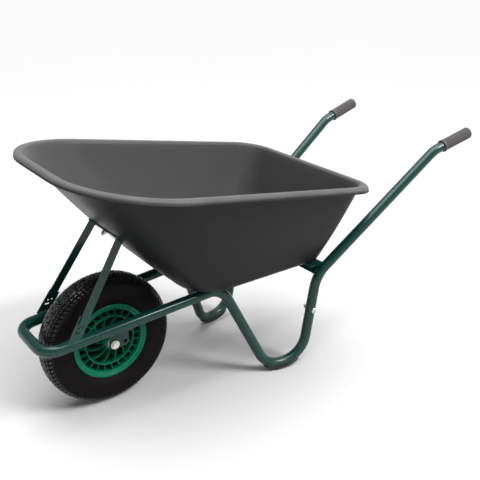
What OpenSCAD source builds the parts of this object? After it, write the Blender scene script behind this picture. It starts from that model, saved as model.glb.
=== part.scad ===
// Builder's wheelbarrow: one pneumatic wheel in a bent tube frame, a moulded
// tray and two socketed handles. Millimetres. +X runs from the wheel to the
// handles, +Y is the operator's right, +Z is up and the ground is z = 0.
// The origin is on the ground, in the mid plane, half way along the barrow.

/* [Wheel] */
// Outer diameter of the tyre
tyre_d = 400; // [360:5:480]
// Width of the tyre
tyre_w = 100; // [90:1:120]
// Thickness of the tyre casing
tyre_wall = 6; // [5:0.5:8]
// Diameter of the bead seat
bead_d = 203; // [196:1:210]
// Height of the rim flange above the bead seat
flange_h = 15.5; // [12:0.5:18]
// Width between the rim flanges
rim_gap = 72; // [66:1:80]
// Thickness of the rim's barrel and flanges
rim_wall = 5; // [4:0.5:6]
// Number of short ribs between the barrel and the inner ring
rib_count = 24; // [12:2:30]
// Number of curved vanes between the hub and the inner ring
vane_count = 12; // [6:1:15]
// Thickness of the ribs, the vanes and the inner ring
rib_t = 2.6; // [2:0.2:3.2]
// Outer diameter of the inner ring
ring_d = 155; // [140:1:164]
// Outer diameter of the hub boss
hub_d = 44; // [40:1:50]
// Length of the hub boss
hub_len = 92; // [86:1:110]

/* [Axle] */
// Diameter of the axle bolt
axle_d = 12; // [10:0.5:14]
// Radial running clearance between the axle and its bushes
axle_clear = 0.05; // [0.02:0.01:0.09]
// Thickness of the bracket webs
bracket_t = 3; // [2.5:0.5:4]
// Length of the spacer between a bush and its bracket
spacer_len = 8.7; // [6:0.1:14]
// Distance from the axle to the spare axle hole behind it
spare_pitch = 35; // [30:1:45]

/* [Tube frame] */
// Outer diameter of the frame and handle tubes
tube_d = 32; // [28:0.5:38]
// Wall of the tubes
tube_wall = 1.5; // [1.2:0.1:2.5]
// Height of the rails above the axle, at the axle
rail_above_axle = 76; // [70:1:95]
// Rise of the rails towards the handles, in degrees
rail_rise = 4.4; // [2:0.2:6]
// Splay of each rail in plan, in degrees
rail_splay = 1.6; // [0:0.2:3]
// Space between the tyre's side and each rail, at the axle
rail_side_gap = 35; // [30:1:45]
// Space between the tread and the front hoop
hoop_gap = 15; // [10:1:40]
// Bend radius of the two front corners
hoop_bend = 46; // [36:1:50]
// Bend radius from a rail into its leg
leg_top_bend = 64; // [48:1:80]
// Bend radius at the front of a foot
foot_front_bend = 76; // [50:1:80]
// Bend radius at the rear of a foot
foot_rear_bend = 85; // [60:1:88]
// Half spacing of the front of the feet
foot_front_half = 183; // [165:1:200]
// Half spacing of the rear of the feet
foot_rear_half = 205; // [190:1:215]

/* [Handles] */
// Half spacing of the handles' lower bends
handle_low_half = 219; // [212:1:235]
// Radius of the lower bends
handle_low_bend = 96; // [70:1:110]
// Radius of the upper bends
handle_high_bend = 100; // [70:1:130]
// Half spacing of the grips where they start
grip_half = 259; // [245:1:290]
// Distance from the lower bends to the grips, along X
grip_reach = 487; // [420:5:560]
// Height from the lower bends to the grips
grip_climb = 342; // [300:5:400]
// Rise of the grips, in degrees
grip_rise = 15; // [5:1:20]
// Splay of the grips in plan, in degrees
grip_splay = 5; // [0:0.5:8]
// Length of the grips
grip_len = 120; // [100:1:140]
// Outer diameter of the grips
grip_d = 38.5; // [37:0.5:44]
// Length of the socketed end of each handle
spigot_len = 60; // [50:1:75]
// Radial clearance of the socketed ends in the frame tube
spigot_clear = 0.15; // [0.1:0.05:0.3]
// Distance from the lower bends down to the sockets' mouths
socket_drop = 92; // [85:1:110]

/* [Tray] */
// Length of the tray floor
floor_len = 436; // [364:1:523]
// Half width of the floor at the front
floor_front_half = 152; // [140:1:175]
// Half width of the floor at the rear
floor_rear_half = 202; // [180:1:210]
// Distance that the front rim overhangs the floor
front_overhang = 400; // [340:2:420]
// Distance that the rear rim overhangs the floor
rear_overhang = 116; // [100:2:160]
// Height of the front rim above the front of the floor
front_depth = 438; // [400:2:480]
// Height of the rear rim above the rear of the floor
rear_depth = 244; // [204:2:292]
// Half width across the rim at the front
rim_front_half = 359; // [320:1:380]
// Half width across the rim at the rear
rim_rear_half = 314; // [300:1:350]
// Corner radius of the rim at the front
rim_front_corner = 255; // [150:5:300]
// Corner radius of the rim at the rear
rim_rear_corner = 103; // [60:1:130]
// Corner radius of the floor at the front
floor_front_corner = 108; // [60:1:120]
// Corner radius of the floor at the rear
floor_rear_corner = 48; // [35:1:75]
// Outward bow of the front wall at half its height, which fades to nothing at the rear
wall_bow = 20; // [0:1:24]
// Wall of the tray
tray_wall = 4.5; // [3.5:0.5:6]
// Width of the rolled rim
rim_w = 24; // [20:1:30]
// Depth of the lip under the rim
lip_h = 16; // [12:1:22]

/* [Brace] */
// Width of the brace's flat bars
bar_w = 23; // [20:1:28]
// Thickness of the brace's flat bars
bar_t = 4; // [3:0.5:5]
// Height of the brace's top above the front of the floor
brace_climb = 219; // [180:1:240]
// Space between the tyre's side and the brace, at its top
brace_side_gap = 29; // [24:1:40]
// Distance from the axle forward to the brace's feet
brace_foot_x = 107; // [95:1:120]
// Height of the brace's feet above the rails' centre line
brace_foot_z = 60; // [54:1:70]

/* [Fasteners] */
// Diameter of the frame and tray bolts
bolt_d = 8; // [6:1:8]
// Radial clearance of those bolts in their holes
bolt_clear = 0.25; // [0.1:0.05:0.4]
// Thickness of the washers
washer_t = 1.6; // [1.2:0.1:2.5]
// Half spacing of the front pair of tray bolts
front_bolt_half = 55; // [40:1:60]
// Half spacing of the rear pair of tray bolts
rear_bolt_half = 110; // [90:1:130]

/* [Feet] */
// Thickness of the plastic skid under each foot
skid_t = 4.8; // [4:0.2:6]
// Height of the foot tube's underside above the ground
skid_lift = 3.6; // [3:0.1:3.8]

/* [Hidden] */
$fn = 64;
seat = 0.2;            // room between pieces that rest against a curved face
run_gap = 0.3;         // side play of the wheel at each bush
nudge = 1;             // how far a cutter runs past what it cuts
bend_lap = 0.5;        // how far a tube's straight runs reach into its bends
bend_draw = 0.02;      // how much each face of a bend is drawn in

tube_r = tube_d / 2;
bore_r = tube_r - tube_wall;
axle_z = tyre_d / 2;
bead_r = bead_d / 2;
barrel_r = bead_r - seat;
axle_r = axle_d / 2;
bolt_r = bolt_d / 2;
hole_r = bolt_r + bolt_clear;

// Rails: a straight line in space on each side, through the axle's cross plane
rail_half = tyre_w / 2 + rail_side_gap + tube_r;
rail_z0 = axle_z + rail_above_axle;
rail_slope = tan(rail_rise);
hoop_z = rail_z0 - tyre_d / 2 * rail_slope;
hoop_x = -sqrt(pow(tyre_d / 2, 2) - pow(hoop_z - axle_z, 2)) - hoop_gap - tube_r;

// Tray: the floor lies on the rails, and everything behind it follows the floor
floor_x0 = tyre_d / 2 + 36;
floor_x1 = floor_x0 + floor_len;
rim_x0 = floor_x0 - front_overhang;
rim_x1 = floor_x1 + rear_overhang;
rim_z0 = floor_z(floor_x0) + front_depth;
rim_slope = (floor_z(floor_x1) + rear_depth - rim_z0) / (rim_x1 - rim_x0);
wall_t = tray_wall * 1.2;        // the walls' thickness, measured level

// Handles and legs hang from the lower bends, just ahead of the floor's rear edge
low_x = floor_x1 - 44;
low_z = floor_z(low_x) - 34;
foot_z = tube_r + skid_lift;
leg_top = rail_point(low_x - 287);
foot_front = [low_x - 165, foot_front_half, foot_z];
foot_rear = [low_x - 36, foot_rear_half, foot_z];
low_bend = [low_x, handle_low_half, low_z];
arm_dir = unit(low_bend - foot_rear);
socket = low_bend - arm_dir * socket_drop;
socket_bolt = socket - arm_dir * 26;
grip_dir = [cos(grip_rise) * cos(grip_splay), cos(grip_rise) * sin(grip_splay), sin(grip_rise)];
grip_start = [low_x + grip_reach, grip_half, low_z + grip_climb];
grip_end = grip_start + grip_dir * grip_len;
high_bend = grip_start - grip_dir * 34;

// Where the whole barrow starts and ends, which sets the origin
front_x = min(hoop_x - tube_r, rim_x0);
rear_x = grip_end[0] + grip_d / 2 * sin(grip_rise);
mid_x = (front_x + rear_x) / 2;

frame_path = [
    socket, foot_rear, foot_front, leg_top, rail_point(hoop_x),
    across(rail_point(hoop_x)), across(leg_top), across(foot_front), across(foot_rear), across(socket)
];
frame_bends = [
    0, foot_rear_bend, foot_front_bend, leg_top_bend, hoop_bend,
    hoop_bend, leg_top_bend, foot_front_bend, foot_rear_bend, 0
];
handle_path = [socket, low_bend, high_bend, grip_end - grip_dir * 6];
handle_bends = [0, handle_low_bend, handle_high_bend, 0];

// Brace: two bars from brackets on the rails up to a strap on the tray's front wall
wall_run = front_overhang - rim_w;
wall_rise = rim_z(rim_x0 + rim_w) - floor_z(floor_x0);
brace_up = brace_climb / wall_rise;
wall_angle = atan2(wall_rise, wall_run + 4 * wall_bow * (1 - 2 * brace_up));
brace_top = [
    floor_x0 - brace_up * wall_run - bow(brace_up),
    tyre_w / 2 + brace_side_gap,
    floor_z(floor_x0) + brace_climb
];
brace_foot = [-brace_foot_x, rail_half + 1, rail_z0 - brace_foot_x * rail_slope + brace_foot_z];
brace_dir = unit(brace_top - brace_foot);
brace_side = unit([0, 1, 0] - brace_dir * brace_dir[1]);

// Axle stack, outwards from the hub
bush_flange_t = 3;
bush_face = hub_len / 2 + bush_flange_t;
spacer_face = bush_face + run_gap;
web_in = spacer_face + spacer_len;
web_out = web_in + bracket_t;
axle_washer_t = 2;
sleeve_r = 12.5;
sleeve_bore = 10;

function unit(v) = v / norm(v);
function across(p) = [p[0], -p[1], p[2]];
function rail_point(x) = [x, rail_half + x * tan(rail_splay), rail_z0 + x * rail_slope];
function floor_z(x) = rail_z0 + x * rail_slope + tube_r / cos(rail_rise);
function rim_z(x) = rim_z0 + (x - rim_x0) * rim_slope;
function bow(up) = 4 * up * (1 - up) * wall_bow;
function turn(p, i) = acos(unit(p[i] - p[i - 1]) * unit(p[i + 1] - p[i]));
function bend_start(p, r, i) = p[i] - unit(p[i] - p[i - 1]) * r[i] * tan(turn(p, i) / 2);
function bend_end(p, r, i) = p[i] + unit(p[i + 1] - p[i]) * r[i] * tan(turn(p, i) / 2);

// ---- helpers ----

// Moves a piece from coordinates that start at the axle to the barrow's own origin
module home() {
    translate([-mid_x, 0, 0]) children();
}

// The same piece on the other side of the mid plane
module other_side() {
    mirror([0, 1, 0]) children();
}

module both_sides() {
    children();
    other_side() children();
}

// Stands the children's Z axis along a direction, at a point
module along(point, dir) {
    translate(point) rotate([0, acos(dir[2] / norm(dir)), atan2(dir[1], dir[0])]) children();
}

// Places children in a frame given by its origin and its three unit axes
module in_frame(o, x, y, z) {
    multmatrix([
        [x[0], y[0], z[0], o[0]],
        [x[1], y[1], z[1], o[1]],
        [x[2], y[2], z[2], o[2]]
    ]) children();
}

module rod(a, b, r) {
    along(a, b - a) cylinder(h = norm(b - a), r = r);
}

// A round bar that follows straight runs and true arc bends
module bent_rod(p, bends, r) {
    last = len(p) - 1;
    for (i = [0 : last - 1])
        rod(
            i == 0 ? p[0] : bend_end(p, bends, i),
            i + 1 == last ? p[last] : bend_start(p, bends, i + 1),
            r
        );
    for (i = [1 : last - 1])
        at_bend(p, bends[i], i)
            rotate_extrude(angle = turn(p, i)) translate([bends[i], 0]) circle(r);
}

// Puts the Z axis on a bend's axis, with X towards the bend's start
module at_bend(p, bend_r, i) {
    u = unit(p[i] - p[i - 1]);
    n = unit(cross(u, p[i + 1] - p[i]));
    x = cross(u, n);
    start = p[i] - u * bend_r * tan(turn(p, i) / 2);
    in_frame(start - x * bend_r, x, u, n) children();
}

// A tube along runs and bends, from one run on. Its bends are drawn a hair thinner than
// the runs, which lap into them
module bent_tube(p, bends, r_out, r_in, first = 0) {
    last = len(p) - 1;
    for (i = [first : last - 1]) {
        u = unit(p[i + 1] - p[i]);
        a = i == 0 ? p[0] : bend_end(p, bends, i) - u * bend_lap;
        b = i + 1 == last ? p[last] : bend_start(p, bends, i + 1) + u * bend_lap;
        along(a, b - a) ring(r_out, r_in, norm(b - a));
    }
    for (i = [1 : last - 1])
        at_bend(p, bends[i], i) rotate_extrude(angle = turn(p, i)) translate([bends[i], 0])
            difference() {
                circle(r_out - bend_draw);
                circle(r_in + bend_draw);
            }
}

module frame_solid() {
    bent_rod(frame_path, frame_bends, tube_r);
}

module handle_solid() {
    bent_rod(handle_path, handle_bends, tube_r);
}

// Local Z is square to the tray floor, and its underside is z = 0
module on_floor(x, y) {
    translate([x, y, floor_z(x)]) rotate([0, -rail_rise, 0]) children();
}

// Local Z points out of the front wall, whose outer face is z = 0
module on_front_wall() {
    translate([brace_top[0], 0, brace_top[2]]) rotate([0, wall_angle - 180, 0]) children();
}

module ring(r_out, r_in, h) {
    difference() {
        cylinder(h = h, r = r_out);
        translate([0, 0, -nudge]) cylinder(h = h + 2 * nudge, r = r_in);
    }
}

module hex_nut(d, h) {
    difference() {
        cylinder(h = h, r = d * 0.95, $fn = 6);
        translate([0, 0, -nudge]) cylinder(h = h + 2 * nudge, r = d / 2 + 0.02);
    }
}

// A domed bolt: its head sits on z = 0 and its shank runs down
module dome_bolt(d, length) {
    translate([0, 0, -length]) cylinder(h = length, r = d / 2);
    rotate_extrude()
        polygon([
            [0, 0], [d * 1.1, 0], [d * 1.1, d * 0.12],
            for (t = [15 : 15 : 75]) [d * 1.1 * cos(t), d * 0.12 + d * 0.4 * sin(t)],
            [0, d * 0.52]
        ]);
}

// ---- tube frame ----

module frame_tube() {
    color("darkgreen") home() difference() {
        bent_tube(frame_path, frame_bends, tube_r, bore_r);
        both_sides() translate(socket_bolt) socket_bolt_hole();
    }
}

module socket_bolt_hole() {
    rotate([90, 0, 0]) cylinder(h = tube_d + 2 * nudge, r = hole_r, center = true);
}

// The lower end is swaged down into the frame's socket
module handle_tube() {
    neck = 8;
    run = norm(bend_start(handle_path, handle_bends, 1) - socket) + bend_lap;
    spigot_r = bore_r - spigot_clear;
    difference() {
        union() {
            along(socket, arm_dir) rotate_extrude() polygon([
                [spigot_r - tube_wall, -spigot_len], [spigot_r, -spigot_len], [spigot_r, 0],
                [tube_r, 0], [tube_r, run], [bore_r, run], [bore_r, neck],
                [spigot_r - tube_wall, neck]
            ]);
            bent_tube(handle_path, handle_bends, tube_r, bore_r, 1);
        }
        translate(socket_bolt) socket_bolt_hole();
    }
}

module right_handle_tube() {
    color("darkgreen") home() handle_tube();
}

module left_handle_tube() {
    color("darkgreen") home() other_side() handle_tube();
}

// A moulded sleeve with a collar at its mouth and a rounded closed end
module grip() {
    r = grip_d / 2;
    round_r = 6;
    along(grip_start, grip_dir) rotate_extrude()
        polygon([
            [tube_r + seat, 0], [r, 0], [r, grip_len - round_r],
            for (t = [15 : 15 : 90])
                [r - round_r + round_r * cos(t), grip_len - round_r + round_r * sin(t)],
            [0, grip_len], [0, grip_len - 5], [tube_r + seat, grip_len - 5]
        ]);
}

module right_grip() {
    color("dimgray") home() grip();
}

module left_grip() {
    color("dimgray") home() other_side() grip();
}

module handle_bolts() {
    color("silver") home() both_sides()
        translate(socket_bolt + [0, tube_r + seat, 0])
            rotate([-90, 0, 0]) dome_bolt(bolt_d, tube_d + 12);
}

module handle_nuts() {
    color("silver") home() both_sides()
        translate(socket_bolt - [0, tube_r + seat, 0]) rotate([90, 0, 0]) hex_nut(bolt_d, 7);
}

// A plastic shoe under the lowest stretch of the tube, trimmed flat where it stands
module foot_skid() {
    skid_x0 = foot_front[0] + 6;
    skid_x1 = foot_rear[0] - 18;
    intersection() {
        bent_tube(
            [socket, foot_rear, foot_front, leg_top],
            [0, foot_rear_bend, foot_front_bend, 0], tube_r + skid_t, tube_r + seat
        );
        translate([skid_x0, 0, 0])
            cube([skid_x1 - skid_x0, foot_rear_half + tube_d * 2, foot_z - 2]);
    }
}

module right_foot_skid() {
    color("black") home() foot_skid();
}

module left_foot_skid() {
    color("black") home() other_side() foot_skid();
}

// ---- pressed steel ----

front_member_x = floor_x0 + 57;
front_member_w = 42;
rear_member_x = floor_x1 - 42;
rear_flange_w = 50;

module front_cross_member() {
    color("darkgreen") home() difference() {
        on_floor(front_member_x, 0)
            translate([-front_member_w / 2, -rail_half - 2, -bracket_t])
                cube([front_member_w, 2 * rail_half + 4, bracket_t]);
        frame_solid();
        tray_bolt_holes();
    }
}

// A flange under the floor, and a web that leans against the handles' lower bends
module rear_cross_member() {
    web_w = 46;
    web_angle = 53;
    half = handle_low_half - 4;
    color("darkgreen") home() difference() {
        on_floor(rear_member_x, 0) {
            translate([-rear_flange_w / 2, -half, -bracket_t])
                cube([rear_flange_w, 2 * half, bracket_t]);
            translate([rear_flange_w / 2, 0, 0]) rotate([0, 180 + rail_rise - web_angle, 0])
                translate([0, -half, 0]) cube([web_w, 2 * half, bracket_t]);
        }
        both_sides() handle_solid();
        tray_bolt_holes();
    }
}

// Web beside the wheel, and a flange that is welded under the rail
module axle_bracket() {
    front = 16;
    rear = spare_pitch + 15;
    foot = axle_r + 8;
    flange_top = rail_above_axle - tube_r + 2;
    difference() {
        union() {
            translate([0, web_out, axle_z]) rotate([90, 0, 0]) linear_extrude(bracket_t)
                polygon([
                    [-front, flange_top - front * rail_slope], [-front, -foot + 6],
                    [-front + 6, -foot], [rear - 12, -foot], [rear - 4, -foot + 8],
                    [rear, flange_top + rear * rail_slope]
                ]);
            translate([0, web_in, axle_z + flange_top]) rotate([0, -rail_rise, 0])
                translate([-front, 0, -bracket_t])
                    cube([front + rear, rail_half + 6 - web_in, bracket_t]);
        }
        frame_solid();
        for (x = [0, spare_pitch])
            translate([x, web_in - nudge, axle_z]) rotate([-90, 0, 0])
                cylinder(h = bracket_t + 2 * nudge, r = axle_r + 0.25);
    }
}

module right_axle_bracket() {
    color("darkgreen") home() axle_bracket();
}

module left_axle_bracket() {
    color("darkgreen") home() other_side() axle_bracket();
}

// ---- brace ----

// Frame of the right bar: Z runs up the bar and Y points out through its face
module on_brace() {
    in_frame(brace_foot, cross(brace_side, brace_dir), brace_side, brace_dir) children();
}

module brace_bar() {
    length = norm(brace_top - brace_foot) + bar_w;
    difference() {
        on_brace() translate([-bar_w / 2, 0, -11]) cube([bar_w, bar_t, length + 11]);
        on_front_wall() translate([-200, -200, -400 + seat]) cube([400, 400, 400]);
    }
}

module right_brace_bar() {
    color("darkgreen") home() brace_bar();
}

module left_brace_bar() {
    color("darkgreen") home() other_side() brace_bar();
}

// A plate welded on the rail behind the bar, with two holes and a slot below the bar's end
module brace_bracket() {
    plate_w = 32;
    drop = brace_foot_z + 10;
    rise = 12;
    slot_half = 4;
    slot_r = 2.8;
    difference() {
        on_brace() translate([-plate_w / 2, -bracket_t, -drop])
            cube([plate_w, bracket_t, drop + rise]);
        frame_solid();
        translate([-brace_foot_x - 100, 0, 0])
            cube([200, 2 * rail_half, brace_foot[2] - brace_foot_z - tube_r / 2]);
        on_brace() for (hole = [[-5, -21], [5, -14.5]])
            translate([hole[0], 0, hole[1]]) rotate([90, 0, 0])
                cylinder(h = 4 * bracket_t, r = 2.6, center = true);
        on_brace() translate([-2, 0, -33]) rotate([90, 0, 0])
            linear_extrude(4 * bracket_t, center = true) rotate(33) {
                square([2 * slot_half, 2 * slot_r], center = true);
                for (x = [-slot_half, slot_half]) translate([x, 0]) circle(slot_r);
            }
    }
}

module right_brace_bracket() {
    color("darkgreen") home() brace_bracket();
}

module left_brace_bracket() {
    color("darkgreen") home() other_side() brace_bracket();
}

module brace_cross_strap() {
    strap_w = 30;
    half = brace_top[1] + bar_t;
    color("darkgreen") home() difference() {
        on_front_wall() translate([-strap_w / 2, -half, seat]) cube([strap_w, 2 * half, bar_t]);
        both_sides() brace_bar();
        on_front_wall() cylinder(h = 4 * bar_t, r = hole_r, center = true);
    }
}

// ---- tray ----

corner_steps = 8;

// A rounded trapezoid as [x, y, outward x, outward y], anticlockwise from above
function outline(x0, x1, half0, half1, r0, r1) =
    let (p = [[x0, -half0], [x1, -half1], [x1, half1], [x0, half0]], r = [r0, r1, r1, r0])
    [for (i = [0 : 3])
        let (
            u = unit(p[i] - p[(i + 3) % 4]),
            w = unit(p[(i + 1) % 4] - p[i]),
            t = acos(u * w),
            n = [u[1], -u[0]],
            c = p[i] - u * r[i] * tan(t / 2) - n * r[i],
            a0 = atan2(n[1], n[0])
        )
        for (k = [0 : corner_steps])
            let (a = a0 + t * k / corner_steps)
            [c[0] + r[i] * cos(a), c[1] + r[i] * sin(a), cos(a), sin(a)]
    ];

floor_outline = outline(
    floor_x0, floor_x1, floor_front_half, floor_rear_half, floor_front_corner, floor_rear_corner
);
rim_outline = outline(
    rim_x0, rim_x1, rim_front_half, rim_rear_half, rim_front_corner, rim_rear_corner
);

// One ring of the tray's skin. up is 0 at the floor and 1 at the wall's top edge,
// out moves the ring outwards and lift raises it.
function skin_ring(up, out, lift) =
    [for (k = [0 : len(floor_outline) - 1])
        let (
            f = floor_outline[k],
            m = rim_outline[k],
            w = [m[0] - m[2] * rim_w, m[1] - m[3] * rim_w],
            n = unit([(1 - up) * f[2] + up * m[2], (1 - up) * f[3] + up * m[3]]),
            reach = out + bow(up) * (1 - n[0]) / 2,
            slope = (1 - up) * rail_slope + up * rim_slope
        )
        [
            (1 - up) * f[0] + up * w[0] + n[0] * reach,
            (1 - up) * f[1] + up * w[1] + n[1] * reach,
            (1 - up) * floor_z(f[0]) + up * rim_z(w[0]) + slope * n[0] * out + lift
        ]
    ];

// The skin's section, from the floor's underside over the rim to the floor's top
skin = [
    [0, -14, 0], [0.004, -8, 0.3], [0.015, -3, 0.6], [0.035, 0, 0],
    for (up = [0.1 : 0.1 : 0.95]) [up, 0, 0],
    [1, 2, -tray_wall], [1, rim_w - tray_wall, -tray_wall],
    [1, rim_w - tray_wall, -lip_h], [1, rim_w, -lip_h], [1, rim_w, -5],
    [1, rim_w - 1.5, -1.5], [1, rim_w - 5, 0], [1, 3, 0], [1, -1, -1.2],
    [0.97, -wall_t, 0], for (up = [0.9 : -0.1 : 0.05]) [up, -wall_t, 0],
    [0.05, -wall_t, 0], [0.025, -wall_t - 3, 1], [0.008, -wall_t - 8, tray_wall - 1.2],
    [0, -wall_t - 14, tray_wall]
];

module tray_skin() {
    rings = [for (s = skin) skin_ring(s[0], s[1], s[2])];
    m = len(floor_outline);
    last = len(skin) - 1;
    polyhedron(
        points = [for (r = rings) for (p = r) p],
        faces = concat(
            [[for (k = [0 : m - 1]) k]],
            [for (i = [0 : last - 1]) for (k = [0 : m - 1])
                [i * m + k, (i + 1) * m + k, (i + 1) * m + (k + 1) % m]],
            [for (i = [0 : last - 1]) for (k = [0 : m - 1])
                [i * m + k, (i + 1) * m + (k + 1) % m, i * m + (k + 1) % m]],
            [[for (k = [m - 1 : -1 : 0]) last * m + k]]
        )
    );
}

module tray() {
    color([0.2, 0.2, 0.2]) home() difference() {
        tray_skin();
        tray_bolt_holes();
        on_front_wall() cylinder(h = 8 * wall_t, r = hole_r, center = true);
    }
}

// ---- tray fasteners ----

// Puts the children at each of the four floor bolts
module at_floor_bolts() {
    for (y = [-front_bolt_half, front_bolt_half]) on_floor(front_member_x, y) children();
    for (y = [-rear_bolt_half, rear_bolt_half]) on_floor(rear_member_x, y) children();
}

module tray_bolt_holes() {
    at_floor_bolts() cylinder(h = 8 * tray_wall, r = hole_r, center = true);
}

module tray_floor_bolts() {
    color("silver") home() at_floor_bolts()
        translate([0, 0, tray_wall]) dome_bolt(bolt_d, tray_wall + bracket_t + washer_t + 11);
}

module tray_floor_washers() {
    color("silver") home() at_floor_bolts()
        translate([0, 0, -bracket_t - washer_t]) ring(bolt_d, hole_r, washer_t);
}

module tray_floor_nuts() {
    nut_h = 6.5;
    color("silver") home() at_floor_bolts()
        translate([0, 0, -bracket_t - washer_t - nut_h]) hex_nut(bolt_d, nut_h);
}

wall_square = wall_t * sin(wall_angle);
front_nut_h = 7;

module tray_front_bolt() {
    color("silver") home() on_front_wall()
        translate([0, 0, -wall_square - washer_t - seat]) mirror([0, 0, 1])
            dome_bolt(bolt_d, wall_square + 2 * washer_t + bar_t + front_nut_h + 5);
}

module tray_front_washers() {
    color("silver") home() on_front_wall() {
        translate([0, 0, -wall_square - washer_t - seat]) ring(12, hole_r, washer_t);
        translate([0, 0, bar_t + seat]) ring(bolt_d, hole_r, washer_t);
    }
}

module tray_front_nut() {
    color("silver") home() on_front_wall()
        translate([0, 0, bar_t + seat + washer_t]) hex_nut(bolt_d, front_nut_h);
}

// ---- axle ----

module at_axle() {
    translate([0, 0, axle_z]) rotate([-90, 0, 0]) children();
}

module axle_bolt() {
    head_h = 7;
    head_z = -web_out - axle_washer_t;
    nut_side = web_out + axle_washer_t + 14;
    color("silver") home() at_axle() {
        translate([0, 0, head_z]) cylinder(h = nut_side - head_z, r = axle_r);
        translate([0, 0, head_z]) rotate([180, 0, 0]) cylinder(h = 2.5, r = 13.5);
        translate([0, 0, head_z - 2.5]) rotate([180, 0, 0])
            cylinder(h = head_h - 2.5, r = axle_r * 1.75, $fn = 6);
    }
}

module axle_nut() {
    color("silver") home() at_axle()
        translate([0, 0, web_out + axle_washer_t]) hex_nut(axle_d, 10);
}

module axle_washers() {
    color("silver") home() at_axle() for (z = [-web_out - axle_washer_t, web_out])
        translate([0, 0, z]) ring(axle_r + 6.5, axle_r + 0.25, axle_washer_t);
}

module axle_spacers() {
    color("silver") home() at_axle() for (z = [-web_in, spacer_face])
        translate([0, 0, z]) ring(axle_r + 4, axle_r + 0.25, spacer_len);
}

// ---- wheel ----

// The pattern of ribs, ring and vanes, drawn in the wheel's plane
module spoke_pattern() {
    ring_r = ring_d / 2;
    vane_bend = 55;
    difference() {
        circle(ring_r);
        circle(ring_r - rib_t);
    }
    for (k = [0 : rib_count - 1])
        rotate(360 * k / rib_count) translate([ring_r - rib_t / 2, -rib_t / 2])
            square([barrel_r - rim_wall - ring_r + rib_t, rib_t]);
    intersection() {
        circle(ring_r - rib_t / 2);
        for (k = [0 : vane_count - 1])
            rotate(360 * k / vane_count) translate([hub_d / 2 - 4, vane_bend])
                intersection() {
                    difference() {
                        circle(vane_bend + rib_t / 2);
                        circle(vane_bend - rib_t / 2);
                    }
                    translate([0, -vane_bend - rib_t]) square([vane_bend, vane_bend + rib_t]);
                }
    }
}

valve_angle = 360 / rib_count * 6.5;
valve_r = 4;
valve_offset = rim_gap / 2 - 16;
valve_bend_r = (ring_d / 2 + barrel_r - rim_wall) / 2;

module rim() {
    half = rim_gap / 2;
    rib_depth = half - 3;
    web_t = 4;
    flange_r = bead_r + flange_h;
    color("seagreen") home() at_axle() difference() {
        union() {
            rotate_extrude() polygon([
                [barrel_r - rim_wall, -half - 5], [flange_r - 4, -half - 5],
                [flange_r, -half - 2.5], [flange_r, -half - 1], [flange_r - 3, -half],
                [barrel_r, -half], [barrel_r, half], [flange_r - 3, half],
                [flange_r, half + 1], [flange_r, half + 2.5],
                [flange_r - 4, half + 5], [barrel_r - rim_wall, half + 5]
            ]);
            translate([0, 0, -rib_depth]) linear_extrude(2 * rib_depth) spoke_pattern();
            translate([0, 0, -web_t / 2]) cylinder(h = web_t, r = barrel_r - 1);
            translate([0, 0, -hub_len / 2]) cylinder(h = hub_len, r = hub_d / 2);
        }
        cylinder(h = hub_len + 2 * nudge, r = sleeve_r, center = true);
        rotate(valve_angle) translate([0, 0, valve_offset]) rotate([0, 90, 0])
            cylinder(h = flange_r, r = valve_r + seat);
    }
}

module hub_sleeve() {
    color("silver") home() at_axle() translate([0, 0, -hub_len / 2])
        ring(sleeve_r, sleeve_bore, hub_len);
}

module hub_bushes() {
    depth = 20;
    color("white") home() at_axle() for (side = [0, 1]) mirror([0, 0, side])
        translate([0, 0, hub_len / 2]) difference() {
            union() {
                translate([0, 0, -depth]) cylinder(h = depth, r = sleeve_bore);
                cylinder(h = bush_flange_t, r = sleeve_r + 2);
            }
            translate([0, 0, -depth - nudge])
                cylinder(h = depth + bush_flange_t + 2 * nudge, r = axle_r + axle_clear);
        }
}

// A squared oval, as [radius from the axle, distance from the mid plane]
section_r = bead_r + 6.5 + (tyre_d / 2 - bead_r - 6.5) / 2;

function squared_oval(half_r, half_w) =
    [for (t = [0 : 7.5 : 352.5])
        [
            section_r + half_r * sign(cos(t)) * pow(abs(cos(t)), 0.8),
            half_w * sign(sin(t)) * pow(abs(sin(t)), 0.8)
        ]
    ];

module tyre_section(inset, bead_half) {
    polygon(squared_oval(tyre_d / 2 - section_r - inset, tyre_w / 2 - inset));
    translate([bead_r, -bead_half]) square([section_r - bead_r, 2 * bead_half]);
}

module tyre() {
    bead_half = rim_gap / 2 - seat;
    color([0.1, 0.1, 0.1]) home() at_axle() rotate_extrude() difference() {
        tyre_section(0, bead_half);
        tyre_section(tyre_wall, bead_half - 10);
        translate([bead_r - nudge, 10 - bead_half])
            square([section_r - bead_r, 2 * (bead_half - 10)]);
    }
}

module inner_tube() {
    rubber = 2;
    inset = tyre_wall + 0.4;
    color([0.15, 0.15, 0.15]) home() at_axle() rotate_extrude() difference() {
        polygon(squared_oval(tyre_d / 2 - section_r - inset, tyre_w / 2 - inset));
        polygon(squared_oval(
            tyre_d / 2 - section_r - inset - rubber, tyre_w / 2 - inset - rubber
        ));
    }
}

// A bent metal valve: radial through the barrel, then out towards the side
module valve_stem() {
    foot_r = section_r - (tyre_d / 2 - section_r) + tyre_wall + 0.4;
    color("goldenrod") home() at_axle() rotate(valve_angle) {
        intersection() {
            translate([0, 0, valve_offset]) rotate([0, 90, 0])
                translate([0, 0, valve_bend_r]) cylinder(h = foot_r - valve_bend_r, r = valve_r);
            cylinder(h = tyre_w, r = foot_r, center = true);
        }
        translate([valve_bend_r, 0, valve_offset]) sphere(valve_r);
        translate([valve_bend_r, 0, valve_offset]) cylinder(h = 16, r = valve_r);
        translate([valve_bend_r, 0, valve_offset + 16]) cylinder(h = 6, r = 2.5);
    }
}

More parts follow.
